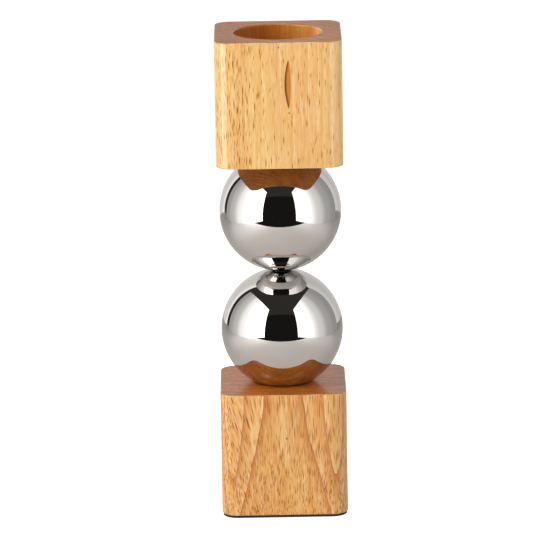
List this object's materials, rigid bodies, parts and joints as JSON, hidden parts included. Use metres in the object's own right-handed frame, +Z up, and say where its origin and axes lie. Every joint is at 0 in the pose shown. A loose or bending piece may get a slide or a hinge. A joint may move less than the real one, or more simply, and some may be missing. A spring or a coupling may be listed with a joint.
{
  "type": "candle holder",
  "caption": "Upright candle holder: a wooden base block, mirror-polished hollow balls stacked on it, and a wooden top block with a round candle recess.",
  "frame": {"origin": "centre of the underside of the anti-slip pad, at the bottom of the holder", "axes": "+Z up along the holder's centre line; +X and +Y square to the block's faces, with the front face towards -Y"},
  "size_m": [0.062, 0.062, 0.237],
  "materials": {
    "rubberwood": "light yellow-tan rubberwood, satin clear finish",
    "mirror_steel": "mirror-polished stainless steel",
    "zinc_steel": "bright zinc-plated steel",
    "black_nylon": "black nylon",
    "pad_rubber": "black foamed rubber"
  },
  "bodies": {
    "lower_half": {"anti_slip_pad": "pad_rubber", "base_block": "rubberwood", "base_screw": "zinc_steel", "base_flat_washer": "zinc_steel", "base_lock_washer": "zinc_steel", "lower_ball_shell": "mirror_steel", "lower_ball_bottom_boss": "zinc_steel", "lower_ball_top_boss": "zinc_steel", "centre_stud": "zinc_steel"},
    "centre_washer": {"centre_washer": "black_nylon"},
    "upper_half": {"upper_ball_shell": "mirror_steel", "upper_ball_bottom_boss": "zinc_steel", "upper_ball_top_boss": "zinc_steel", "top_block": "rubberwood", "top_flat_washer": "zinc_steel", "top_lock_washer": "zinc_steel", "top_screw": "zinc_steel"}
  },
  "joints": [
    {"name": "upper_half_rise", "type": "slide", "parent": "lower_half", "child": "centre_washer", "axis": [0, 0, 1], "range_m": [0, 0.008]},
    {"name": "upper_half_unscrew", "type": "hinge", "parent": "centre_washer", "child": "upper_half", "pos_m": [0, 0, 0.1182], "axis": [0, 0, 1], "range_deg": [0, 2880]}
  ],
  "couplings": [
    {"joint": "upper_half_rise", "follows": "upper_half_unscrew", "m_per_rad": 0.00015915}
  ]
}
